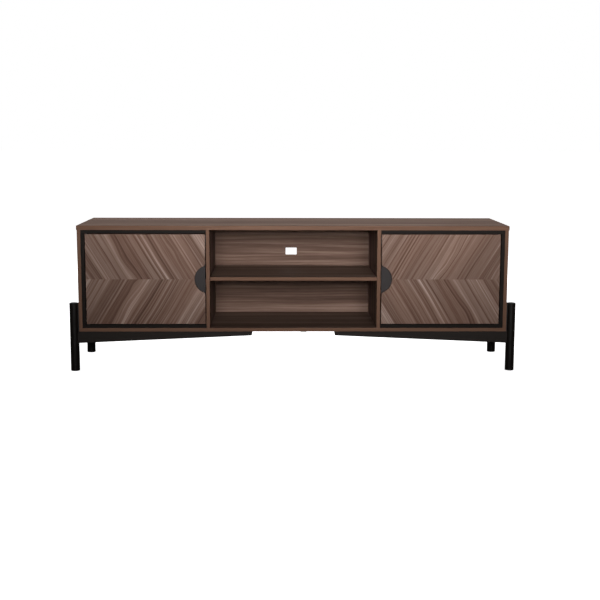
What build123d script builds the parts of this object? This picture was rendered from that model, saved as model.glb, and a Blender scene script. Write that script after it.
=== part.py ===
"""Low walnut TV stand: an open centre bay between two cabinets with inset chevron doors.

Frame: X runs along the width, -Y is the front, +Z is up, millimetres.
The origin is on the floor, under the middle of the whole stand.
"""
from build123d import *
import os

# ---------------------------------------------------------------- driving dimensions
TOP_WIDTH = 1800.0
TOP_DEPTH = 450.0
TOP_THICKNESS = 18.0
BOARD = 15.0
GROUND_CLEARANCE = 169.0
INNER_HEIGHT = 412.0
FRONT_OVERHANG = 2.0
SIDE_INSET = 2.0
BAY_HALF_WIDTH = 349.5
EDGE_BREAK = 0.6

BACK_THICKNESS = 3.0
BACK_SETBACK = 8.0
GROOVE_DEPTH = 5.5
GROOVE_WIDTH = 3.4
BACK_TONGUE = 5.0
CABLE_HOLE_WIDTH = 50.0
CABLE_HOLE_HEIGHT = 31.0
CABLE_HOLE_X = -4.5
CABLE_HOLE_Z = 464.0
CABLE_HOLE_CORNER = 1.0

SHELF_TOP_Z = 399.0
SHELF_SIDE_GAP = 2.0
SHELF_BACK_GAP = 1.0
CABINET_SHELF_Z = 385.0
CABINET_SHELF_SETBACK = 40.0
PIN_STEM_DIAMETER = 5.0
PIN_STEM_LENGTH = 9.0
PIN_TONGUE_LENGTH = 9.0
PIN_TONGUE_WIDTH = 9.0
PIN_END_DISTANCE = 45.0

STRIP = 15.0
STRIP_DEPTH = 20.0
STRIP_SCREW_LENGTH = STRIP + 10.0
STRIP_SCREW_SHARES = (0.1, 0.5, 0.9)
STRIP_SCREW_SETBACK = 2.0
HINGE_SCREW_UP = 130.0
HINGE_SCREW_ABOVE_MIDDLE = 40.0
HINGE_SCREW_DOWN = 50.0

DOOR_THICKNESS = 15.0
DOOR_GAP = 2.5
DOOR_HINGE_GAP = 3.0
DOOR_FREE_GAP = 4.0
GRIP_RADIUS = 59.0
GRIP_CENTRE_OUT = 14.5
GRIP_CORNER = 12.0
GRIP_PLATE = (66.0, 2.0, 160.0)
GRIP_PLATE_CORNER = 6.0
PLATE_SCREW_FROM_SIDE = 8.0
PLATE_SCREW_FROM_END = 7.0
PLATE_SCREW_LENGTH = 11.0

PIVOT_IN_FROM_EDGE = 9.0
PIVOT_BEHIND_FACE = 6.0
PIVOT_RADIUS = 2.5
PIVOT_PRESS = 0.01
PIVOT_RUN_CLEARANCE = 0.06
PIVOT_CHAMFER = 0.4
PIVOT_IN_DOOR = 12.0
PIVOT_IN_BUSH = 8.0
BUSH_RADIUS = 4.5
BUSH_LENGTH = 10.0
BUSH_FLANGE_RADIUS = 5.5
BUSH_FLANGE = 2.0

CATCH = (20.0, 24.0, 42.0)
CATCH_TOP_DROP = 24.0
CATCH_AIR_GAP = 0.5
CATCH_EDGE_BREAK = 1.0
POLE_DEPTH = 12.0
POLE_MARGIN_DIVIDER = 5.0
POLE_MARGIN_CABINET = 3.0
POLE_MARGIN_ENDS = 8.0
CATCH_SCREW_FROM_END = 4.5
CATCH_SCREW_FROM_BACK = 6.0
CATCH_SCREW_BITE = 10.0
STRIKE = (14.0, 1.2, 36.0)
STRIKE_CORNER = 2.0
STRIKE_FROM_EDGE = 2.0
STRIKE_SCREW_FROM_END = 6.0

LEG_RADIUS = 19.0
LEG_WALL = 2.0
LEG_HEIGHT = 289.0
LEG_X = 920.0
LEG_Y = 205.0
CAP_HEAD = 3.0
CAP_ROUNDING = 2.4
GLIDE_HEAD = 4.0
GLIDE_ROUNDING = 2.0
PLUG_LENGTH = 14.0
LEG_BOLT_HEIGHTS = (212.0, 262.0)
LEG_BOLT_RADIUS = 3.0
LEG_BOLT_HEAD_RADIUS = 5.8
LEG_BOLT_HEAD = 3.4
LEG_BOLT_CLEARANCE = 0.2
LEG_BOLT_SHORT_OF_NUT = 1.0
SPACER_WIDTH = 18.0
SPACER_TOP_DROP = 5.0
NUT_RADIUS = 4.6
NUT_LENGTH = 15.0
NUT_INSET = 0.6

RAIL_THICKNESS = 22.0
RAIL_OUTER_HEIGHT = 51.0
RAIL_INNER_HEIGHT = 18.0
RAIL_INNER_X = 175.0
RAIL_END_BEVEL = 3.0
RAIL_CHAMFER = 0.8
RAIL_SCREW_X = (840.0, 640.0, 440.0, 240.0)
RAIL_SCREW_SINK = 2.0
SCREW_SHORT_OF_FACE = 4.0

BATTEN = (24.0, 362.0, 9.0)
BATTEN_X = 43.0
BATTEN_SCREW_FROM_END = 30.0

CAM_RADIUS = 7.5
CAM_DEPTH = 12.5
CAM_FROM_END = 34.0
CAM_BOLT_RADIUS = 3.3
CAM_BOLT_BITE = 10.0
CAM_Y = (-150.0, 150.0)
CAM_CROSS_HALF = 4.5
CAM_CROSS_SLOT = 0.8
CAM_CROSS_DEPTH = 1.0
DOWEL_RADIUS = 4.0
DOWEL_HALF = 9.5
DOWEL_LONG = 20.0
DOWEL_Y = (-100.0, 0.0, 100.0)
DOWEL_CHAMFER = 0.8

# Countersunk screws: shank radius, head radius and head height.
RAIL_SCREW = (2.2, 4.2, 2.6)
STRIP_SCREW = (1.8, 3.4, 2.2)
PLATE_SCREW = (1.6, 3.0, 1.7)
CATCH_SCREW = (1.6, 3.0, 1.8)
LEG_BOLT = (LEG_BOLT_RADIUS, LEG_BOLT_HEAD_RADIUS, LEG_BOLT_HEAD)
DRIVE_RECESS = 0.6

FIT = 0.05
CUT_BEYOND = 5.0
HOLE_BOTTOM = 1.0

# ---------------------------------------------------------------- derived positions
FRONT = -TOP_DEPTH / 2 + FRONT_OVERHANG
REAR = TOP_DEPTH / 2 - FRONT_OVERHANG
FLOOR_Z = GROUND_CLEARANCE + BOARD
CEILING_Z = FLOOR_Z + INNER_HEIGHT
TOP_Z = CEILING_Z + TOP_THICKNESS
SIDE_OUT = TOP_WIDTH / 2 - SIDE_INSET
SIDE_IN = SIDE_OUT - BOARD
DIVIDER_OUT = BAY_HALF_WIDTH + BOARD
BACK_FACE = REAR - BACK_SETBACK - BACK_THICKNESS

DOOR_HINGE_X = SIDE_IN - STRIP - DOOR_HINGE_GAP
DOOR_FREE_X = DIVIDER_OUT + DOOR_FREE_GAP
DOOR_LOW = FLOOR_Z + STRIP + DOOR_GAP
DOOR_HIGH = CEILING_Z - STRIP - DOOR_GAP
DOOR_MID = (DOOR_LOW + DOOR_HIGH) / 2
DOOR_BACK = FRONT + DOOR_THICKNESS
PIVOT_X = DOOR_HINGE_X - PIVOT_IN_FROM_EDGE
PIVOT_Y = FRONT + PIVOT_BEHIND_FACE

nodes = {}


# ---------------------------------------------------------------- shape helpers
def block(x, y, z, edge=0.0):
    """Box between two X, two Y and two Z values, with its edges broken by a small chamfer."""
    size = (x[1] - x[0], y[1] - y[0], z[1] - z[0])
    centre = ((x[0] + x[1]) / 2, (y[0] + y[1]) / 2, (z[0] + z[1]) / 2)
    solid = Pos(*centre) * Box(*size)
    return chamfer(solid.edges(), edge) if edge else solid


def rod(point, direction, radius, length):
    """Cylinder that starts at a point and runs along a direction."""
    return Plane(origin=point, z_dir=direction) * Cylinder(
        radius, length, align=(Align.CENTER, Align.CENTER, Align.MIN))


def cone(point, direction, start_radius, end_radius, length):
    """Cone that starts at a point and runs along a direction."""
    return Plane(origin=point, z_dir=direction) * Cone(
        start_radius, end_radius, length, align=(Align.CENTER, Align.CENTER, Align.MIN))


def countersunk_screw(point, direction, radius, head_radius, head, length):
    """Flat-headed screw whose head is flush at the point, with a drive recess in the head."""
    screw = rod(point, direction, radius, length) + cone(point, direction, head_radius, radius, head)
    return screw - rod(point, direction, radius * DRIVE_RECESS, head * DRIVE_RECESS)


def screw_hole(point, direction, radius, head_radius, head, length):
    """Space that a countersunk screw fills, a little larger than the screw."""
    return rod(point, direction, radius + FIT, length + FIT) + cone(
        point, direction, head_radius + FIT, radius + FIT, head + FIT)


def both_sides(solids):
    """The given solids and their mirror images across the middle of the stand."""
    return list(solids) + [solid.mirror(Plane.YZ) for solid in solids]


def add(name, *solids):
    """Register one node made of one or more separate solids."""
    pieces = []
    for solid in solids:
        pieces.extend(solid.solids())
    nodes[name] = pieces


def add_pair(name, solids):
    """Register a right-hand node and its mirror image on the left."""
    add("right_" + name, *solids)
    add("left_" + name, *[solid.mirror(Plane.YZ) for solid in solids])


def total(solids):
    """All the solids fused into one cutting tool."""
    tool = solids[0]
    for solid in solids[1:]:
        tool += solid
    return tool


# ---------------------------------------------------------------- carcass joinery
def panel_ends():
    """Each upright end: middle of its thickness, its cabinet-side face, and the end's Z and up sense."""
    uprights = (
        (SIDE_IN + BOARD / 2, SIDE_IN, 1),
        (BAY_HALF_WIDTH + BOARD / 2, DIVIDER_OUT, -1),
    )
    for middle, face, into in uprights:
        yield middle, face, into, FLOOR_Z, -1
        yield middle, face, into, CEILING_Z, 1


def drive_cross(x, y, z):
    """Cross-shaped slot in the face of a cam lock."""
    depth = (x - CAM_CROSS_DEPTH, x + CAM_CROSS_DEPTH)
    flat = block(depth, (y - CAM_CROSS_HALF, y + CAM_CROSS_HALF), (z - CAM_CROSS_SLOT, z + CAM_CROSS_SLOT))
    upright = block(depth, (y - CAM_CROSS_SLOT, y + CAM_CROSS_SLOT), (z - CAM_CROSS_HALF, z + CAM_CROSS_HALF))
    return flat + upright


cam_locks = []
cam_bolts = []
dowels = []
joint_holes = []
for middle, face, into, end_z, sense in panel_ends():
    for cam_y in CAM_Y:
        cam_z = end_z - sense * CAM_FROM_END
        cam = rod((face, cam_y, cam_z), (into, 0, 0), CAM_RADIUS, CAM_DEPTH)
        cam_locks.append(cam - drive_cross(face, cam_y, cam_z))
        joint_holes.append(rod((face, cam_y, cam_z), (into, 0, 0), CAM_RADIUS + FIT, CAM_DEPTH + FIT))
        start = cam_z + sense * (CAM_RADIUS + FIT)
        length = CAM_FROM_END - CAM_RADIUS + CAM_BOLT_BITE
        cam_bolts.append(rod((middle, cam_y, start), (0, 0, sense), CAM_BOLT_RADIUS, length))
        joint_holes.append(
            rod((middle, cam_y, cam_z), (0, 0, sense), CAM_BOLT_RADIUS + FIT,
                CAM_FROM_END + CAM_BOLT_BITE + 2 * FIT))
    for dowel_y in DOWEL_Y:
        start = end_z - sense * DOWEL_LONG
        dowel = rod((middle, dowel_y, start), (0, 0, sense), DOWEL_RADIUS, DOWEL_LONG + DOWEL_HALF)
        dowels.append(chamfer(dowel.edges(), DOWEL_CHAMFER))
        joint_holes.append(
            rod((middle, dowel_y, start - sense * HOLE_BOTTOM), (0, 0, sense), DOWEL_RADIUS + FIT,
                DOWEL_LONG + DOWEL_HALF + 2 * HOLE_BOTTOM))

joinery = total(both_sides(joint_holes))

# ---------------------------------------------------------------- back panels in their grooves
groove_y = (BACK_FACE - (GROOVE_WIDTH - BACK_THICKNESS) / 2,
            BACK_FACE + BACK_THICKNESS + (GROOVE_WIDTH - BACK_THICKNESS) / 2)
groove_z = (FLOOR_Z - GROOVE_DEPTH, CEILING_Z + GROOVE_DEPTH)
back_y = (BACK_FACE, BACK_FACE + BACK_THICKNESS)
back_z = (FLOOR_Z - BACK_TONGUE, CEILING_Z + BACK_TONGUE)

bay_groove_x = BAY_HALF_WIDTH + GROOVE_DEPTH
cabinet_groove_x = (DIVIDER_OUT - GROOVE_DEPTH, SIDE_IN + GROOVE_DEPTH)
cabinet_groove = block(cabinet_groove_x, groove_y, groove_z)
grooves = total([block((-bay_groove_x, bay_groove_x), groove_y, groove_z)] + both_sides([cabinet_groove]))

bay_back_x = BAY_HALF_WIDTH + BACK_TONGUE
cable_hole = block(
    (CABLE_HOLE_X - CABLE_HOLE_WIDTH / 2, CABLE_HOLE_X + CABLE_HOLE_WIDTH / 2),
    (BACK_FACE - CUT_BEYOND, BACK_FACE + BACK_THICKNESS + CUT_BEYOND),
    (CABLE_HOLE_Z - CABLE_HOLE_HEIGHT / 2, CABLE_HOLE_Z + CABLE_HOLE_HEIGHT / 2),
)
cable_hole = fillet(cable_hole.edges().filter_by(Axis.Y), CABLE_HOLE_CORNER)
add("center_back_panel", block((-bay_back_x, bay_back_x), back_y, back_z) - cable_hole)
add_pair("back_panel", [block((DIVIDER_OUT - BACK_TONGUE, SIDE_IN + BACK_TONGUE), back_y, back_z)])


# ---------------------------------------------------------------- legs
def leg_set(y):
    """Leg, cap, glide, saddle spacer, bolts and rivet nuts of the right-hand leg at a Y position."""
    tube = rod((LEG_X, y, GLIDE_HEAD), (0, 0, 1), LEG_RADIUS, LEG_HEIGHT - GLIDE_HEAD - CAP_HEAD)
    tube -= rod((LEG_X, y, 0), (0, 0, 1), LEG_RADIUS - LEG_WALL, LEG_HEIGHT)

    cap = rod((LEG_X, y, LEG_HEIGHT - CAP_HEAD), (0, 0, 1), LEG_RADIUS, CAP_HEAD)
    cap = fillet(cap.edges().sort_by(Axis.Z)[-1], CAP_ROUNDING)
    cap += rod((LEG_X, y, LEG_HEIGHT - CAP_HEAD - PLUG_LENGTH), (0, 0, 1),
               LEG_RADIUS - LEG_WALL - FIT, PLUG_LENGTH)

    glide = rod((LEG_X, y, 0), (0, 0, 1), LEG_RADIUS, GLIDE_HEAD)
    glide = fillet(glide.edges().sort_by(Axis.Z)[0], GLIDE_ROUNDING)
    glide += rod((LEG_X, y, GLIDE_HEAD), (0, 0, 1), LEG_RADIUS - LEG_WALL - FIT, PLUG_LENGTH)

    outside = rod((LEG_X, y, 0), (0, 0, 1), LEG_RADIUS, LEG_HEIGHT)
    head_x = SIDE_IN if y > 0 else SIDE_IN - STRIP
    wall_x = LEG_X - LEG_RADIUS
    nut_start = wall_x + NUT_INSET
    bolt_length = nut_start + NUT_LENGTH - head_x - LEG_BOLT_SHORT_OF_NUT
    spacer = block(
        (SIDE_OUT, LEG_X), (y - SPACER_WIDTH / 2, y + SPACER_WIDTH / 2),
        (GROUND_CLEARANCE, LEG_HEIGHT - SPACER_TOP_DROP))
    spacer -= outside
    bolts = []
    nuts = []
    holes = []
    for z in LEG_BOLT_HEIGHTS:
        head = (head_x, y, z)
        spacer -= rod((SIDE_OUT, y, z), (1, 0, 0), LEG_BOLT_RADIUS + LEG_BOLT_CLEARANCE, LEG_X - SIDE_OUT)
        bolts.append(countersunk_screw(head, (1, 0, 0), *LEG_BOLT, bolt_length))
        nut = rod((nut_start, y, z), (1, 0, 0), NUT_RADIUS, NUT_LENGTH)
        nuts.append(nut - rod((nut_start, y, z), (1, 0, 0), LEG_BOLT_RADIUS + FIT, NUT_LENGTH))
        holes.append(screw_hole(head, (1, 0, 0), *LEG_BOLT, SIDE_OUT - head_x + HOLE_BOTTOM))
        tube -= rod((wall_x - LEG_WALL, y, z), (1, 0, 0), NUT_RADIUS + FIT, LEG_RADIUS)
    return tube, cap, glide, spacer, bolts, nuts, holes


leg_caps = []
foot_glides = []
leg_spacers = []
leg_bolts = []
leg_nuts = []
leg_holes = []
for place, leg_y in (("front", -LEG_Y), ("rear", LEG_Y)):
    tube, cap, glide, spacer, bolts, nuts, holes = leg_set(leg_y)
    add(f"{place}_right_leg", tube)
    add(f"{place}_left_leg", tube.mirror(Plane.YZ))
    leg_caps.append(cap)
    foot_glides.append(glide)
    leg_spacers.append(spacer)
    leg_bolts.extend(bolts)
    leg_nuts.extend(nuts)
    leg_holes.extend(holes)
add("leg_caps", *both_sides(leg_caps))
add("foot_glides", *both_sides(foot_glides))
add("leg_spacers", *both_sides(leg_spacers))
add("leg_bolts", *both_sides(leg_bolts))
add("leg_rivet_nuts", *both_sides(leg_nuts))
leg_hole_tool = total(both_sides(leg_holes))

# ---------------------------------------------------------------- tapered rails and the batten
rail_screws = []
rail_screw_holes = []
for place, leg_y in (("front", -LEG_Y), ("rear", LEG_Y)):
    outline = Plane.XZ * Polyline(
        (RAIL_INNER_X - RAIL_END_BEVEL, GROUND_CLEARANCE),
        (RAIL_INNER_X, GROUND_CLEARANCE - RAIL_INNER_HEIGHT),
        (LEG_X, GROUND_CLEARANCE - RAIL_OUTER_HEIGHT),
        (LEG_X, GROUND_CLEARANCE),
        close=True,
    )
    rail = Pos(0, leg_y, 0) * extrude(make_face(outline), amount=RAIL_THICKNESS / 2, both=True)
    rail = chamfer(rail.edges().filter_by(Axis.Y).sort_by(Axis.X)[:2], RAIL_CHAMFER)
    rail -= rod((LEG_X, leg_y, 0), (0, 0, 1), LEG_RADIUS + FIT, LEG_HEIGHT)
    slope = (RAIL_OUTER_HEIGHT - RAIL_INNER_HEIGHT) / (LEG_X - RAIL_INNER_X)
    for screw_x in RAIL_SCREW_X:
        depth = RAIL_INNER_HEIGHT + (screw_x - RAIL_INNER_X) * slope
        sink = depth - RAIL_INNER_HEIGHT + RAIL_SCREW_SINK
        start = (screw_x, leg_y, GROUND_CLEARANCE - depth + sink)
        length = depth - sink + BOARD - SCREW_SHORT_OF_FACE
        rail_screws.append(countersunk_screw(start, (0, 0, 1), *RAIL_SCREW, length))
        rail_screw_holes.append(screw_hole(start, (0, 0, 1), *RAIL_SCREW, length))
        rail_screw_holes.append(
            rod((screw_x, leg_y, GROUND_CLEARANCE - depth - CUT_BEYOND), (0, 0, 1),
                RAIL_SCREW[1] + FIT, sink + CUT_BEYOND))
    rail -= total(rail_screw_holes[-2 * len(RAIL_SCREW_X):])
    add(f"{place}_right_rail", rail)
    add(f"{place}_left_rail", rail.mirror(Plane.YZ))
add("rail_screws", *both_sides(rail_screws))

batten = block(
    (BATTEN_X - BATTEN[0] / 2, BATTEN_X + BATTEN[0] / 2), (-BATTEN[1] / 2, BATTEN[1] / 2),
    (GROUND_CLEARANCE - BATTEN[2], GROUND_CLEARANCE), EDGE_BREAK)
batten_screw_y = BATTEN[1] / 2 - BATTEN_SCREW_FROM_END
batten_screw_length = BATTEN[2] + BOARD - SCREW_SHORT_OF_FACE
batten_screws = []
batten_screw_holes = []
for screw_y in (-batten_screw_y, 0, batten_screw_y):
    start = (BATTEN_X, screw_y, GROUND_CLEARANCE - BATTEN[2])
    batten_screws.append(countersunk_screw(start, (0, 0, 1), *RAIL_SCREW, batten_screw_length))
    batten_screw_holes.append(screw_hole(start, (0, 0, 1), *RAIL_SCREW, batten_screw_length))
batten_holes = total(batten_screw_holes)
add("bottom_batten", batten - batten_holes)
add("batten_screws", *batten_screws)

# ---------------------------------------------------------------- frame strips round each door
strip_y = (FRONT, FRONT + STRIP_DEPTH)
strip_mid_y = FRONT + STRIP_DEPTH / 2
top_strip = block((DIVIDER_OUT, SIDE_IN), strip_y, (CEILING_Z - STRIP, CEILING_Z), EDGE_BREAK)
bottom_strip = block((DIVIDER_OUT, SIDE_IN), strip_y, (FLOOR_Z, FLOOR_Z + STRIP), EDGE_BREAK)
hinge_strip = block(
    (SIDE_IN - STRIP, SIDE_IN), strip_y, (FLOOR_Z + STRIP, CEILING_Z - STRIP), EDGE_BREAK)

strip_screws = []
strip_screw_holes = []
for share in STRIP_SCREW_SHARES:
    screw_x = DIVIDER_OUT + share * (SIDE_IN - DIVIDER_OUT)
    for start_z, sense in ((CEILING_Z - STRIP, 1), (FLOOR_Z + STRIP, -1)):
        start = (screw_x, strip_mid_y + STRIP_SCREW_SETBACK, start_z)
        strip_screws.append(countersunk_screw(start, (0, 0, sense), *STRIP_SCREW, STRIP_SCREW_LENGTH))
        strip_screw_holes.append(screw_hole(start, (0, 0, sense), *STRIP_SCREW, STRIP_SCREW_LENGTH))
for screw_z in (FLOOR_Z + HINGE_SCREW_UP, DOOR_MID + HINGE_SCREW_ABOVE_MIDDLE,
                CEILING_Z - HINGE_SCREW_DOWN):
    start = (SIDE_IN - STRIP, strip_mid_y, screw_z)
    strip_screws.append(countersunk_screw(start, (1, 0, 0), *STRIP_SCREW, STRIP_SCREW_LENGTH))
    strip_screw_holes.append(screw_hole(start, (1, 0, 0), *STRIP_SCREW, STRIP_SCREW_LENGTH))
add("strip_screws", *both_sides(strip_screws))
strip_hole_tool = total(both_sides(strip_screw_holes))

# ---------------------------------------------------------------- pivot pins and bushes
pivot_pins = []
bushes = []
pin_holes = []
bush_holes = []
for edge_z, strip_z, sense in ((DOOR_HIGH, CEILING_Z - STRIP, 1), (DOOR_LOW, FLOOR_Z + STRIP, -1)):
    start = (PIVOT_X, PIVOT_Y, edge_z - sense * PIVOT_IN_DOOR)
    length = PIVOT_IN_DOOR + DOOR_GAP + PIVOT_IN_BUSH
    pin = rod(start, (0, 0, sense), PIVOT_RADIUS, length)
    pivot_pins.append(chamfer(pin.edges(), PIVOT_CHAMFER))
    pin_holes.append(rod(start, (0, 0, sense), PIVOT_RADIUS + PIVOT_PRESS, PIVOT_IN_DOOR + HOLE_BOTTOM))
    seat = (PIVOT_X, PIVOT_Y, strip_z)
    bush = rod(seat, (0, 0, sense), BUSH_RADIUS, BUSH_LENGTH)
    bush += rod(seat, (0, 0, -sense), BUSH_FLANGE_RADIUS, BUSH_FLANGE)
    bore_start = (PIVOT_X, PIVOT_Y, strip_z - sense * BUSH_FLANGE)
    bush -= rod(bore_start, (0, 0, sense), PIVOT_RADIUS + PIVOT_RUN_CLEARANCE, BUSH_LENGTH + BUSH_FLANGE)
    bushes.append(bush)
    bush_holes.append(rod(seat, (0, 0, sense), BUSH_RADIUS + PIVOT_PRESS, BUSH_LENGTH + HOLE_BOTTOM / 2))
add_pair("door_pivot_pins", pivot_pins)
add_pair("door_bushes", bushes)

strip_cut = total(strip_screw_holes + bush_holes)
add_pair("top_strip", [top_strip - strip_cut])
add_pair("bottom_strip", [bottom_strip - strip_cut])
add_pair("hinge_strip", [hinge_strip - strip_cut - leg_hole_tool])

# ---------------------------------------------------------------- doors
door = block((DOOR_FREE_X, DOOR_HINGE_X), (FRONT, DOOR_BACK), (DOOR_LOW, DOOR_HIGH))
grip_centre = (DOOR_FREE_X - GRIP_CENTRE_OUT, FRONT - 1, DOOR_MID)
door -= rod(grip_centre, (0, 1, 0), GRIP_RADIUS, DOOR_THICKNESS + 2)
free_edges = door.edges().filter_by(Axis.Y).filter_by_position(Axis.X, DOOR_FREE_X - 1, DOOR_FREE_X + 1)
grip_corners = free_edges.filter_by_position(Axis.Z, DOOR_LOW + 1, DOOR_HIGH - 1)
door = fillet(grip_corners, GRIP_CORNER)
door = chamfer(door.faces().sort_by(Axis.Y)[0].edges(), EDGE_BREAK)
door -= total(pin_holes)

plate_x = (DOOR_FREE_X, DOOR_FREE_X + GRIP_PLATE[0])
plate_y = (DOOR_BACK, DOOR_BACK + GRIP_PLATE[1])
plate_z = (DOOR_MID - GRIP_PLATE[2] / 2, DOOR_MID + GRIP_PLATE[2] / 2)
grip_plate = block(plate_x, plate_y, plate_z)
grip_plate = fillet(grip_plate.edges().filter_by(Axis.Y), GRIP_PLATE_CORNER)

strike_x = (DOOR_FREE_X + STRIKE_FROM_EDGE, DOOR_FREE_X + STRIKE_FROM_EDGE + STRIKE[0])
strike_high = CEILING_Z - CATCH_TOP_DROP - (CATCH[2] - STRIKE[2]) / 2
strike = block(strike_x, (DOOR_BACK, DOOR_BACK + STRIKE[1]), (strike_high - STRIKE[2], strike_high))
strike = fillet(strike.edges().filter_by(Axis.Y), STRIKE_CORNER)


def rear_screws(places, face_y):
    """Screws driven forwards into the back of the door, and the holes that they need."""
    screws = []
    holes = []
    for x, z in places:
        start = (x, face_y, z)
        screws.append(countersunk_screw(start, (0, -1, 0), *PLATE_SCREW, PLATE_SCREW_LENGTH))
        holes.append(screw_hole(start, (0, -1, 0), *PLATE_SCREW, PLATE_SCREW_LENGTH))
    return screws, total(holes)


plate_screw_x = (plate_x[0] + PLATE_SCREW_FROM_SIDE, plate_x[1] - PLATE_SCREW_FROM_SIDE)
plate_screw_z = (plate_z[0] + PLATE_SCREW_FROM_END, plate_z[1] - PLATE_SCREW_FROM_END)
plate_places = [(x, z) for x in plate_screw_x for z in plate_screw_z]
plate_screws, plate_holes = rear_screws(plate_places, plate_y[1])
strike_middle = (strike_x[0] + strike_x[1]) / 2
strike_screw_z = (strike_high - STRIKE_SCREW_FROM_END, strike_high - STRIKE[2] + STRIKE_SCREW_FROM_END)
strike_places = [(strike_middle, z) for z in strike_screw_z]
strike_screws, strike_holes = rear_screws(strike_places, DOOR_BACK + STRIKE[1])
add_pair("door_panel", [door - plate_holes - strike_holes])
add_pair("grip_plate", [grip_plate - plate_holes])
add_pair("grip_plate_screws", plate_screws)
add_pair("strike_plate", [strike - strike_holes])
add_pair("strike_screws", strike_screws)

# ---------------------------------------------------------------- magnetic catches
catch_x = (DIVIDER_OUT, DIVIDER_OUT + CATCH[0])
catch_front = DOOR_BACK + STRIKE[1] + CATCH_AIR_GAP
catch_y = (catch_front, catch_front + CATCH[1])
catch_z = (CEILING_Z - CATCH_TOP_DROP - CATCH[2], CEILING_Z - CATCH_TOP_DROP)
catch = block(catch_x, catch_y, catch_z, CATCH_EDGE_BREAK)
pole_x = (catch_x[0] + POLE_MARGIN_DIVIDER, catch_x[1] - POLE_MARGIN_CABINET)
pole_z = (catch_z[0] + POLE_MARGIN_ENDS, catch_z[1] - POLE_MARGIN_ENDS)
pole = block(pole_x, (catch_front, catch_front + POLE_DEPTH), pole_z)
catch_screws = []
catch_holes = []
for screw_z in (catch_z[0] + CATCH_SCREW_FROM_END, catch_z[1] - CATCH_SCREW_FROM_END):
    start = (catch_x[1], catch_y[1] - CATCH_SCREW_FROM_BACK, screw_z)
    length = CATCH[0] + CATCH_SCREW_BITE
    catch_screws.append(countersunk_screw(start, (-1, 0, 0), *CATCH_SCREW, length))
    catch_holes.append(screw_hole(start, (-1, 0, 0), *CATCH_SCREW, length))
catch_hole_tool = total(both_sides(catch_holes))
add_pair("magnetic_catch", [catch - pole - catch_hole_tool])
add("catch_magnets", *both_sides([pole]))
add("catch_screws", *both_sides(catch_screws))


# ---------------------------------------------------------------- shelves on their pins
def shelf_pins(x_low, x_high, y_front, y_back, shelf_under):
    """Four pins, two in each upright, and the holes for their stems."""
    pins = []
    holes = []
    for face, inward in ((x_low, 1), (x_high, -1)):
        for y in (y_front + PIN_END_DISTANCE, y_back - PIN_END_DISTANCE):
            stem_z = shelf_under - PIN_STEM_DIAMETER / 2
            stem = rod((face, y, stem_z), (-inward, 0, 0), PIN_STEM_DIAMETER / 2, PIN_STEM_LENGTH)
            tongue_x = sorted((face, face + inward * PIN_TONGUE_LENGTH))
            tongue = block(
                tongue_x, (y - PIN_TONGUE_WIDTH / 2, y + PIN_TONGUE_WIDTH / 2),
                (shelf_under - PIN_STEM_DIAMETER, shelf_under))
            pins.append(stem + tongue)
            holes.append(rod((face, y, stem_z), (-inward, 0, 0), PIN_STEM_DIAMETER / 2 + FIT,
                             PIN_STEM_LENGTH + HOLE_BOTTOM))
    return pins, holes


shelf_depth = (FRONT, BACK_FACE - SHELF_BACK_GAP)
bay_shelf = block(
    (-BAY_HALF_WIDTH + SHELF_SIDE_GAP, BAY_HALF_WIDTH - SHELF_SIDE_GAP), shelf_depth,
    (SHELF_TOP_Z - BOARD, SHELF_TOP_Z), EDGE_BREAK)
bay_pins, bay_pin_holes = shelf_pins(
    -BAY_HALF_WIDTH, BAY_HALF_WIDTH, *shelf_depth, SHELF_TOP_Z - BOARD)
add("center_shelf", bay_shelf)
add("center_shelf_pins", *bay_pins)

cabinet_depth = (FRONT + CABINET_SHELF_SETBACK, BACK_FACE - SHELF_BACK_GAP)
cabinet_shelf = block(
    (DIVIDER_OUT + SHELF_SIDE_GAP, SIDE_IN - SHELF_SIDE_GAP), cabinet_depth,
    (CABINET_SHELF_Z - BOARD, CABINET_SHELF_Z), EDGE_BREAK)
cabinet_pins, cabinet_pin_holes = shelf_pins(
    DIVIDER_OUT, SIDE_IN, *cabinet_depth, CABINET_SHELF_Z - BOARD)
add_pair("cabinet_shelf", [cabinet_shelf])
add_pair("cabinet_shelf_pins", cabinet_pins)
shelf_hole_tool = total(bay_pin_holes + both_sides(cabinet_pin_holes))

# ---------------------------------------------------------------- carcass panels
add("cam_locks", *both_sides(cam_locks))
add("cam_bolts", *both_sides(cam_bolts))
add("wood_dowels", *both_sides(dowels))

half_width = TOP_WIDTH / 2
carcass_y = (FRONT, REAR)
top = block((-half_width, half_width), (-TOP_DEPTH / 2, TOP_DEPTH / 2), (CEILING_Z, TOP_Z), EDGE_BREAK)
bottom = block((-SIDE_OUT, SIDE_OUT), carcass_y, (GROUND_CLEARANCE, FLOOR_Z), EDGE_BREAK)
under_screws = total(both_sides(rail_screw_holes)) + batten_holes
add("top_panel", top - joinery - grooves - strip_hole_tool)
add("bottom_panel", bottom - joinery - grooves - strip_hole_tool - under_screws)

side = block((SIDE_IN, SIDE_OUT), carcass_y, (FLOOR_Z, CEILING_Z), EDGE_BREAK)
add_pair("side_panel", [side - joinery - grooves - leg_hole_tool - strip_hole_tool - shelf_hole_tool])
divider = block((BAY_HALF_WIDTH, DIVIDER_OUT), carcass_y, (FLOOR_Z, CEILING_Z), EDGE_BREAK)
add_pair("divider", [divider - joinery - grooves - catch_hole_tool - shelf_hole_tool])

# ---------------------------------------------------------------- one STEP file for each node
os.makedirs("parts", exist_ok=True)
for name, pieces in nodes.items():
    shape = pieces[0] if len(pieces) == 1 else Compound(children=pieces)
    export_step(shape, f"parts/{name}.step")
print(len(nodes), "nodes", sum(len(pieces) for pieces in nodes.values()), "solids")
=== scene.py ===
"""Studio picture of the walnut TV stand: materials, floor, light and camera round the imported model."""
import bpy
import math
from mathutils import Matrix, Vector


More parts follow.
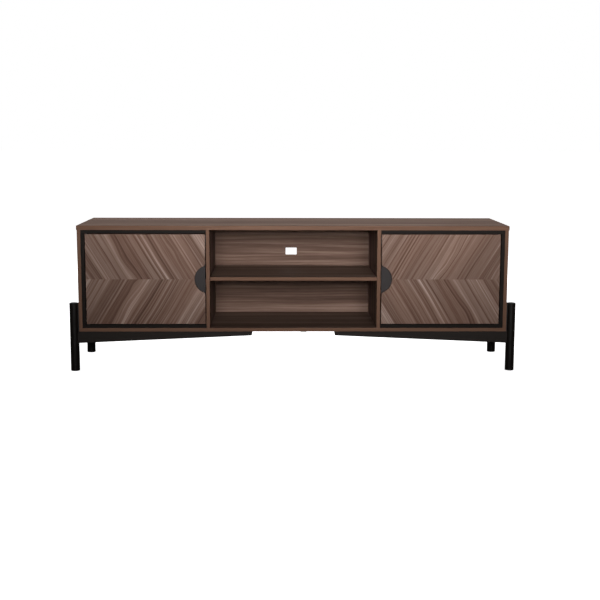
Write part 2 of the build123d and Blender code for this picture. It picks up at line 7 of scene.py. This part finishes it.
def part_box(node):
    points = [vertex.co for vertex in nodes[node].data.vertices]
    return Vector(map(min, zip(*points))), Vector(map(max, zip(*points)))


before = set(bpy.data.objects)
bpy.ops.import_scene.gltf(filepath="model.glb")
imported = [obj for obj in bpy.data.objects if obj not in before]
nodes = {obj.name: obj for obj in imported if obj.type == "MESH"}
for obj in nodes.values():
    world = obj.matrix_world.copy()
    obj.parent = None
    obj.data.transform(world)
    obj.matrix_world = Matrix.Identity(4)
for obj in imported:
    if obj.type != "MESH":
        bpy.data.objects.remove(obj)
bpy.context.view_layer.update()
scene = bpy.context.scene

# ---------------------------------------------------------------- camera
CAMERA_X = -0.0698
CAMERA_Z = 0.9893
CAMERA_TO_FRONT = 4.6277
CAMERA_PITCH = 0.1472
CAMERA_YAW = -0.0210
CAMERA_ROLL = 0.0031
FOCAL_LENGTH_MM = 67.0
SENSOR_WIDTH_MM = 36.0

carcass_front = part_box("bottom_panel")[0].y


def make_camera():
    data = bpy.data.cameras.new("camera")
    data.sensor_width = SENSOR_WIDTH_MM
    data.lens = FOCAL_LENGTH_MM
    camera = bpy.data.objects.new("camera", data)
    scene.collection.objects.link(camera)
    turn = Matrix.Rotation(CAMERA_YAW, 4, "Z")
    tilt = Matrix.Rotation(math.pi / 2 - CAMERA_PITCH, 4, "X")
    roll = Matrix.Rotation(CAMERA_ROLL, 4, "Z")
    place = Matrix.Translation((CAMERA_X, carcass_front - CAMERA_TO_FRONT, CAMERA_Z))
    camera.matrix_world = place @ turn @ tilt @ roll
    scene.camera = camera


make_camera()


# ---------------------------------------------------------------- node helpers
class Shader:
    """A material being built, with short calls for the nodes that it is made of."""

    def __init__(self, name):
        self.material = bpy.data.materials.new(name)
        self.material.use_nodes = True
        self.tree = self.material.node_tree
        self.surface = self.tree.nodes["Principled BSDF"]
        coordinates = self.tree.nodes.new("ShaderNodeTexCoord")
        self.position = coordinates.outputs["Object"]
        self.normal = coordinates.outputs["Normal"]

    def put(self, socket, value):
        """Link a value that comes from a node, or set a plain one."""
        if isinstance(value, bpy.types.NodeSocket):
            self.tree.links.new(value, socket)
        else:
            socket.default_value = value

    def math(self, operation, first, second=0.0, third=0.0):
        node = self.tree.nodes.new("ShaderNodeMath")
        node.operation = operation
        for socket, value in zip(node.inputs, (first, second, third)):
            self.put(socket, value)
        return node.outputs[0]

    def add(self, first, *others):
        for other in others:
            first = self.math("ADD", first, other)
        return first

    def minus(self, value, offset):
        return self.math("SUBTRACT", value, offset)

    def scaled(self, value, factor):
        return self.math("MULTIPLY", value, factor)

    def squared(self, value):
        return self.math("MULTIPLY", value, value)

    def split(self, vector):
        node = self.tree.nodes.new("ShaderNodeSeparateXYZ")
        self.put(node.inputs[0], vector)
        return node.outputs

    def join(self, x, y, z):
        node = self.tree.nodes.new("ShaderNodeCombineXYZ")
        for socket, value in zip(node.inputs, (x, y, z)):
            self.put(socket, value)
        return node.outputs[0]

    def noise(self, vector, scale=1.0, detail=2.0, roughness=0.5):
        node = self.tree.nodes.new("ShaderNodeTexNoise")
        settings = {"Vector": vector, "Scale": scale, "Detail": detail, "Roughness": roughness}
        for name, value in settings.items():
            self.put(node.inputs[name], value)
        return node.outputs["Fac"]

    def streaks(self, along, across, per_metre, seed, detail=2.0, roughness=0.5):
        """Noise drawn out along the grain: per_metre says how often it changes along and across."""
        place = self.join(self.scaled(along, per_metre[0]), self.scaled(across, per_metre[1]), seed)
        return self.noise(place, detail=detail, roughness=roughness)

    def remap(self, value, low, high, new_low=0.0, new_high=1.0, smooth=True):
        node = self.tree.nodes.new("ShaderNodeMapRange")
        node.interpolation_type = "SMOOTHSTEP" if smooth else "LINEAR"
        for name, number in (("Value", value), ("From Min", low), ("From Max", high),
                             ("To Min", new_low), ("To Max", new_high)):
            self.put(node.inputs[name], number)
        return node.outputs[0]

    def ramp(self, value, stops):
        node = self.tree.nodes.new("ShaderNodeValToRGB")
        elements = node.color_ramp.elements
        while len(elements) < len(stops):
            elements.new(0.5)
        for element, (position, colour) in zip(elements, stops):
            element.position = position
            element.color = (*colour, 1.0)
        self.put(node.inputs[0], value)
        return node.outputs["Color"]

    def mix(self, factor, first, second, blend="MIX"):
        node = self.tree.nodes.new("ShaderNodeMix")
        node.data_type = "RGBA"
        node.blend_type = blend
        self.put(node.inputs["Factor"], factor)
        for name, value in (("A", first), ("B", second)):
            socket = [s for s in node.inputs if s.name == name and s.type == "RGBA"][0]
            self.put(socket, (*value, 1.0) if isinstance(value, tuple) else value)
        return [s for s in node.outputs if s.type == "RGBA"][0]

    def bump(self, height, distance, strength):
        node = self.tree.nodes.new("ShaderNodeBump")
        node.inputs["Distance"].default_value = distance
        node.inputs["Strength"].default_value = strength
        self.put(node.inputs["Height"], height)
        self.put(self.surface.inputs["Normal"], node.outputs[0])

    def set(self, **values):
        """Set the surface's sockets, named in lower case with underscores."""
        for name, value in values.items():
            self.put(self.surface.inputs[name.replace("_", " ").title().replace("Ior", "IOR")], value)


def srgb(red, green, blue):
    """Linear colour of an 8-bit display colour."""
    def linear(level):
        level /= 255
        return level / 12.92 if level <= 0.04045 else ((level + 0.055) / 1.055) ** 2.4
    return tuple(linear(level) for level in (red, green, blue))


def dimmed(colour, factor):
    return tuple(level * factor for level in colour)


# ---------------------------------------------------------------- wood
WALNUT_TONES = ((0.0, srgb(70, 51, 41)), (0.5, srgb(103, 81, 69)), (1.0, srgb(136, 113, 101)))
WARM_TONES = ((0.0, srgb(66, 45, 35)), (0.5, srgb(100, 76, 64)), (1.0, srgb(142, 116, 102)))
EDGE_TONES = ((0.0, srgb(84, 57, 43)), (1.0, srgb(119, 87, 68)))
EDGE_FACING = (0.6, 0.8)

# Most of a noise's values lie in this range.
NOISE_RANGE = (0.3, 0.7)

# Noise of the laminated boards: changes per metre along the grain and across it.
BOARD_SWAY = (2.2, 7.0)
BOARD_BANDS = (0.5, 14.0)
BOARD_STREAKS = (1.6, 90.0)
BOARD_FIBRES = (22.0, 1100.0)
BOARD_SWAY_WIDTH = 0.02
BAND_SHARE = 0.42
STREAK_SHARE = 0.46
FIBRE_SHARE = 0.12
BOARD_TONE_RANGE = (0.34, 0.66)

# Roughness in the pores and on the ridges between them.
SATIN_ROUGHNESS = (0.70, 0.57)
SATIN_SPECULAR = 0.2
PORE_DEPTH = 0.00025
PORE_STRENGTH = 0.6


def grain(shader, along, across, seed):
    """Tone from 0 to 1 of walnut whose fibres run along one coordinate, and the fibre height."""
    sway = shader.streaks(along, across, BOARD_SWAY, seed)
    swung = shader.add(across, shader.scaled(shader.minus(sway, 0.5), BOARD_SWAY_WIDTH))
    bands = shader.streaks(along, swung, BOARD_BANDS, seed + 3.1)
    streaks = shader.streaks(along, swung, BOARD_STREAKS, seed + 7.7, detail=4.0, roughness=0.62)
    fibres = shader.streaks(along, swung, BOARD_FIBRES, seed + 11.3)
    tone = shader.add(
        shader.scaled(bands, BAND_SHARE),
        shader.scaled(streaks, STREAK_SHARE),
        shader.scaled(fibres, FIBRE_SHARE))
    height = shader.add(shader.scaled(streaks, 0.5), shader.scaled(fibres, 0.5))
    return shader.remap(tone, *BOARD_TONE_RANGE, smooth=False), height


def satin(shader, height):
    """Satin lacquer over wood: slightly uneven gloss, and pores that show in grazing light."""
    rough = shader.remap(height, *NOISE_RANGE, *SATIN_ROUGHNESS, smooth=False)
    shader.set(roughness=rough, specular_ior_level=SATIN_SPECULAR)
    shader.bump(height, PORE_DEPTH, PORE_STRENGTH)


def board(name, along_axis, seed, tones, edge_axis):
    """Laminated board with its grain along one axis, and a warmer edge band where it faces another."""
    shader = Shader(name)
    x, y, z = shader.split(shader.position)
    along = {"X": x, "Y": y, "Z": z}[along_axis]
    others = {"X": (y, z), "Y": (x, z), "Z": (x, y)}[along_axis]
    tone, height = grain(shader, along, shader.add(*others), seed)
    face = shader.ramp(tone, tones)
    band = shader.ramp(tone, EDGE_TONES)
    normal = shader.split(shader.normal)
    facing = shader.math("ABSOLUTE", normal[{"X": 0, "Y": 1, "Z": 2}[edge_axis]])
    is_edge = shader.remap(facing, *EDGE_FACING)
    shader.set(base_color=shader.mix(is_edge, face, band))
    satin(shader, height)
    return shader.material


# ---------------------------------------------------------------- door veneer
CHEVRON_ANGLE = math.radians(59)
FRONT_FACE_DEPTH = 0.0003
DOOR_BACK_SEED = 31.0
VENEER_TONES = ((0.0, srgb(69, 46, 36)), (0.35, srgb(101, 76, 64)), (0.65, srgb(131, 107, 95)),
                (1.0, srgb(171, 150, 141)))
VENEER_PLAIN = (1.0, 1.0, 1.0)
VENEER_RED = (1.0, 0.95, 0.92)
TINT_ACROSS_PER_METRE = 9.0
TINT_ALONG_PER_METRE = 2.0
TINT_RANGE = (0.4, 0.6)

# Noise of the veneer: changes per metre along the grain and across it.
RING_SWAY = (2.5, 6.0)
BROAD_BANDS = (0.4, 17.0)
# Painted glints: bright thin lines along the rings, painted in where light would catch the grain.
PAINTED_GLINTS = (0.6, 85.0)
DARK_STREAKS = (0.6, 70.0)
PATCHES = (2.0, 14.0)
GROWTH_LINES = (0.9, 150.0)
VENEER_FIBRES = (25.0, 1200.0)
RING_SWAY_WIDTH = 0.03

# How much each of them moves the tone, and the noise values between which the painted glints, dark streaks
# and patches set in.
MEAN_TONE = 0.48
BROAD_BAND_SHARE = 0.9
PAINTED_GLINT_SHARE = 0.25
DARK_STREAK_SHARE = -0.20
VENEER_FIBRE_SHARE = 0.3
LINE_SHARE = (0.4, 1.5)
PAINTED_GLINT_RANGE = (0.56, 0.70)
DARK_STREAK_RANGE = (0.43, 0.31)
PATCH_RANGE = (0.35, 0.65)

# A leaf's figures: how far each lies from the door's middle and from the fold, half its length along
# the grain and half its width, and how far it pushes the growth rings, all in metres.
LEFT_UPPER = ((-0.09, 0.08, 0.060, 0.020, 0.010), (0.12, 0.12, 0.045, 0.015, -0.007))
LEFT_LOWER = ((-0.05, 0.02, 0.030, 0.012, 0.008), (-0.08, 0.10, 0.070, 0.025, 0.009))
RIGHT_UPPER = ((-0.12, 0.14, 0.060, 0.020, 0.010),)
RIGHT_LOWER = ((-0.06, 0.11, 0.055, 0.020, 0.010), (-0.02, 0.05, 0.040, 0.016, 0.008))


def push_rings(shader, along, across, rings, figure):
    """Growth rings pushed aside by a figure, most at its middle."""
    sideways, from_fold, half_length, half_width, push = figure
    at_across = sideways * math.sin(CHEVRON_ANGLE) + from_fold * math.cos(CHEVRON_ANGLE)
    at_along = sideways * math.cos(CHEVRON_ANGLE) - from_fold * math.sin(CHEVRON_ANGLE)
    far_along = shader.scaled(shader.minus(along, at_along), 1 / half_length)
    far_across = shader.scaled(shader.minus(across, at_across), 1 / half_width)
    far = shader.add(shader.squared(far_along), shader.squared(far_across))
    bulge = shader.math("EXPONENT", shader.scaled(far, -1.0))
    return shader.math("MULTIPLY_ADD", bulge, push, rings)


def veneer_leaf(shader, along, across, figures, seed):
    """Tone and fibre height of a walnut leaf: broad bands, painted glints (bright thin lines that stand in
    for light catching the grain), dark streaks and growth lines that follow the rings, which bend round
    the leaf's figures."""
    sway = shader.streaks(along, across, RING_SWAY, seed, detail=1.0)
    rings = shader.add(across, shader.scaled(shader.minus(sway, 0.5), RING_SWAY_WIDTH))
    for figure in figures:
        rings = push_rings(shader, along, across, rings, figure)

    bands = shader.streaks(along, rings, BROAD_BANDS, seed + 1, detail=1.0)
    # Noise for the painted glints, the bright lines that stand in for light catching the grain.
    light = shader.streaks(along, rings, PAINTED_GLINTS, seed + 2, detail=1.0)
    dark = shader.streaks(along, rings, DARK_STREAKS, seed + 3, detail=1.0)
    patch = shader.streaks(along, rings, PATCHES, seed + 4, detail=1.0)
    lines = shader.streaks(along, rings, GROWTH_LINES, seed + 5, detail=3.0)
    fibres = shader.streaks(along, rings, VENEER_FIBRES, seed + 6)
    # Painted glints: brightening painted into the tone along the rings.
    painted_glints = shader.remap(light, *PAINTED_GLINT_RANGE)
    dark_streaks = shader.remap(dark, *DARK_STREAK_RANGE)
    line_share = shader.remap(patch, *PATCH_RANGE, *LINE_SHARE)
    tone = shader.add(
        shader.scaled(shader.minus(bands, 0.5), BROAD_BAND_SHARE),
        shader.scaled(painted_glints, PAINTED_GLINT_SHARE),
        shader.scaled(dark_streaks, DARK_STREAK_SHARE),
        MEAN_TONE,
        shader.scaled(shader.minus(lines, 0.5), line_share),
        shader.scaled(shader.minus(fibres, 0.5), VENEER_FIBRE_SHARE))
    height = shader.add(shader.scaled(lines, 0.5), shader.scaled(fibres, 0.5))
    return tone, height


def chevron(name, node, upper, lower, turned):
    """Door veneer: two leaves that meet at mid height, their grain pointing towards the centre bay.
    The right door is laid out like the left one, turned half round."""
    low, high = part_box(node)
    middle = (low + high) / 2
    sign = -1.0 if turned else 1.0
    shader = Shader(name)
    x, y, z = shader.split(shader.position)
    u = shader.scaled(shader.minus(x, middle.x), sign)
    w = shader.scaled(shader.minus(z, middle.z), sign)
    lift = shader.math("ABSOLUTE", w)
    across = shader.add(
        shader.scaled(u, math.sin(CHEVRON_ANGLE)), shader.scaled(lift, math.cos(CHEVRON_ANGLE)))
    along = shader.add(
        shader.scaled(u, math.cos(CHEVRON_ANGLE)), shader.scaled(lift, -math.sin(CHEVRON_ANGLE)))
    upper_tone, upper_height = veneer_leaf(shader, along, across, *upper)
    lower_tone, lower_height = veneer_leaf(shader, along, across, *lower)
    is_lower = shader.math("LESS_THAN", w, 0.0)
    tone = shader.mix(is_lower, upper_tone, lower_tone)
    height = shader.mix(is_lower, upper_height, lower_height)

    tint_place = shader.join(
        shader.scaled(across, TINT_ACROSS_PER_METRE), shader.scaled(along, TINT_ALONG_PER_METRE), w)
    redness = shader.remap(shader.noise(tint_place, detail=1.0), *TINT_RANGE)
    tint = shader.mix(redness, VENEER_PLAIN, VENEER_RED)
    front = shader.mix(1.0, shader.ramp(tone, VENEER_TONES), tint, blend="MULTIPLY")
    rear_tone, _ = grain(shader, x, z, DOOR_BACK_SEED)
    rear = shader.ramp(rear_tone, WALNUT_TONES)
    is_front = shader.math("LESS_THAN", y, low.y + FRONT_FACE_DEPTH)
    shader.set(base_color=shader.mix(is_front, rear, front))
    satin(shader, height)
    return shader.material


# ---------------------------------------------------------------- paint, plastic and metal
MOTTLE_SCALE = 35.0
MOTTLE_LEVELS = (0.85, 1.2)
FINE_PEEL = 1500.0
COARSE_PEEL = 900.0
PEEL_DEPTH = 0.00006
PEEL_STRENGTH = 0.5
WORN_LEVEL = 0.8
FINE_WEAR = 1200.0
COARSE_WEAR = 500.0
WEAR_DEPTH = 0.00003
WEAR_STRENGTH = 0.4


def painted(name, colour, roughness, peel_scale=COARSE_PEEL, specular=0.3):
    """Paint or powder coat: one colour with a slight mottle and a fine orange-peel surface."""
    shader = Shader(name)
    mottle = shader.noise(shader.position, scale=MOTTLE_SCALE, detail=3.0)
    peel = shader.noise(shader.position, scale=peel_scale)
    shader.set(
        base_color=shader.mix(mottle, *[dimmed(colour, level) for level in MOTTLE_LEVELS]),
        roughness=shader.remap(mottle, *NOISE_RANGE, roughness - 0.04, roughness + 0.05, smooth=False),
        specular_ior_level=specular)
    shader.bump(peel, PEEL_DEPTH, PEEL_STRENGTH)
    return shader.material


def metal(name, colour, roughness, wear_scale=COARSE_WEAR):
    """Plated or cast metal with fine wear in its gloss."""
    shader = Shader(name)
    wear = shader.noise(shader.position, scale=wear_scale, detail=4.0)
    shader.set(
        base_color=shader.mix(wear, dimmed(colour, WORN_LEVEL), colour),
        metallic=1.0,
        roughness=shader.remap(wear, *NOISE_RANGE, roughness - 0.06, roughness + 0.1, smooth=False))
    shader.bump(wear, WEAR_DEPTH, WEAR_STRENGTH)
    return shader.material


black_strip = painted("black_lacquer", srgb(28, 23, 20), 0.6, specular=0.07)
black_rail = painted("black_rail_lacquer", srgb(38, 33, 30), 0.6, specular=0.12)
black_coat = painted("black_powder_coat", srgb(17, 13, 10), 0.42, peel_scale=FINE_PEEL, specular=0.2)
black_plate = painted("black_grip_plate", srgb(50, 46, 46), 0.6, specular=0.15)
black_moulded = painted("black_moulded", srgb(20, 19, 18), 0.5)
plated = metal("zinc_plated", srgb(196, 197, 194), 0.3)
cast_zinc = metal("cast_zinc", srgb(168, 168, 166), 0.45, wear_scale=FINE_WEAR)
ferrite = metal("magnet_poles", srgb(110, 110, 112), 0.5)

# ---------------------------------------------------------------- which node has which material
BOARD_GRAIN = {
    "top_panel": "X",
    "bottom_panel": "X",
    "center_shelf": "X",
    "center_back_panel": "X",
    "left_back_panel": "X",
    "right_back_panel": "X",
    "left_cabinet_shelf": "X",
    "right_cabinet_shelf": "X",
    "left_side_panel": "Z",
    "right_side_panel": "Z",
    "left_divider": "Z",
    "right_divider": "Z",
}
DOORS = {
    "left_door_panel": ("chevron_left", (LEFT_UPPER, 5.5), (LEFT_LOWER, 7.3), False),
    "right_door_panel": ("chevron_right", (RIGHT_UPPER, 5.6), (RIGHT_LOWER, 12.9), True),
}
FINISHES = {
    "strip": black_strip,
    "rail": black_rail,
    "leg": black_coat,
    "grip_plate": black_plate,
    "leg_caps": black_coat,
    "foot_glides": black_moulded,
    "leg_spacers": black_moulded,
    "magnetic_catch": black_moulded,
    "door_bushes": black_moulded,
    "strip_screws": black_coat,
    "catch_magnets": ferrite,
    "cam_locks": cast_zinc,
    "bottom_batten": painted("stained_batten", srgb(92, 62, 48), 0.5),
    "wood_dowels": painted("beech", srgb(190, 152, 108), 0.6),
}


def board_material(number, name):
    """Material of one board. The edge band is on the front and rear edges, but on a back panel,
    whose broad faces look that way, it is on the upper and lower ones."""
    is_back = "back_panel" in name
    tones = WARM_TONES if is_back or "divider" in name else WALNUT_TONES
    seed = 1.7 * number + 0.4
    return board("walnut_" + name, BOARD_GRAIN[name], seed, tones, edge_axis="Z" if is_back else "Y")


def hardware_material(name):
    """Finish whose name ends the node's name, the longest if there are several, or plated steel."""
    endings = [ending for ending in FINISHES if name.endswith(ending)]
    return FINISHES[max(endings, key=len)] if endings else plated


for number, name in enumerate(BOARD_GRAIN):
    nodes[name].data.materials[0] = board_material(number, name)
for name, (material_name, upper, lower, turned) in DOORS.items():
    nodes[name].data.materials[0] = chevron(material_name, name, upper, lower, turned)
for name, obj in nodes.items():
    if name not in BOARD_GRAIN and name not in DOORS:
        obj.data.materials[0] = hardware_material(name)

# ---------------------------------------------------------------- studio
AMBIENT = 0.04
FLOOR_HALF = 60.0
FLOOR_GREYS = ((0.8, 0.8, 0.8), (0.82, 0.82, 0.82))
FLOOR_GLOW = (0.92, 1.0)
FLOOR_GLOW_FROM = (0.8, 2.6)
WHITE = (1.0, 1.0, 1.0, 1.0)
STAND_MIDDLE = (0, 0, 0.4)


def make_floor():
    """Pale floor that glows white further out. It lights nothing and isn't mirrored."""
    corners = [(-FLOOR_HALF, -FLOOR_HALF, 0), (FLOOR_HALF, -FLOOR_HALF, 0),
               (FLOOR_HALF, FLOOR_HALF, 0), (-FLOOR_HALF, FLOOR_HALF, 0)]
    mesh = bpy.data.meshes.new("floor")
    mesh.from_pydata(corners, [], [(0, 1, 2, 3)])
    floor = bpy.data.objects.new("floor", mesh)
    scene.collection.objects.link(floor)
    shader = Shader("pale_floor")
    cloud = shader.noise(shader.position, scale=1.5)
    x, y, _ = shader.split(shader.position)
    distance = shader.math("SQRT", shader.add(shader.squared(x), shader.squared(y)))
    shader.set(
        base_color=shader.mix(cloud, *FLOOR_GREYS),
        roughness=0.9,
        specular_ior_level=0.1,
        emission_color=WHITE,
        emission_strength=shader.remap(distance, *FLOOR_GLOW_FROM, *FLOOR_GLOW))
    mesh.materials.append(shader.material)
    floor.visible_diffuse = False
    floor.visible_glossy = False


def make_world():
    """Weak even light, and a white background where the camera looks past the floor."""
    world = bpy.data.worlds.new("studio")
    scene.world = world
    world.use_nodes = True
    tree = world.node_tree
    background = tree.nodes["Background"]
    background.inputs["Strength"].default_value = AMBIENT
    seen = tree.nodes.new("ShaderNodeBackground")
    seen.inputs["Strength"].default_value = 1.0
    for node in (background, seen):
        node.inputs["Color"].default_value = WHITE
    path = tree.nodes.new("ShaderNodeLightPath")
    choice = tree.nodes.new("ShaderNodeMixShader")
    tree.links.new(path.outputs["Is Camera Ray"], choice.inputs[0])
    tree.links.new(background.outputs[0], choice.inputs[1])
    tree.links.new(seen.outputs[0], choice.inputs[2])
    tree.links.new(choice.outputs[0], tree.nodes["World Output"].inputs["Surface"])


def make_softbox(name, power, location, target, size, spread=180, mirrored=True):
    """Rectangular studio light that the camera doesn't see, and that glossy faces mirror or don't."""
    data = bpy.data.lights.new(name, "AREA")
    data.energy = power
    data.shape = "RECTANGLE"
    data.size, data.size_y = size
    data.spread = math.radians(spread)
    light = bpy.data.objects.new(name, data)
    light.location = location
    light.rotation_euler = (Vector(target) - Vector(location)).to_track_quat("-Z", "Y").to_euler()
    light.visible_camera = False
    light.visible_glossy = mirrored
    scene.collection.objects.link(light)


make_floor()
make_world()
make_softbox(
    "key", power=58, location=(0.15, -4.6, 1.9), target=(0.15, 0, 1.9), size=(2.2, 1.9), spread=48)
make_softbox("overhead", power=46, location=(0, 0.35, 3.0), target=(0, 0.35, 0), size=(3.6, 0.9))
make_softbox("rear_glow", power=18, location=(0, 4.5, 1.6), target=STAND_MIDDLE, size=(7.0, 1.2))
make_softbox(
    "rear_fill", power=70, location=(0, 4.0, 1.4), target=STAND_MIDDLE, size=(3.0, 1.2), mirrored=False)
make_softbox(
    "left_fill", power=38, location=(-4.5, 0.2, 1.5), target=STAND_MIDDLE, size=(1.5, 1.0), mirrored=False)
make_softbox(
    "right_fill", power=34, location=(4.5, 0.2, 1.5), target=STAND_MIDDLE, size=(1.5, 1.0), mirrored=False)
scene.view_settings.view_transform = "Standard"
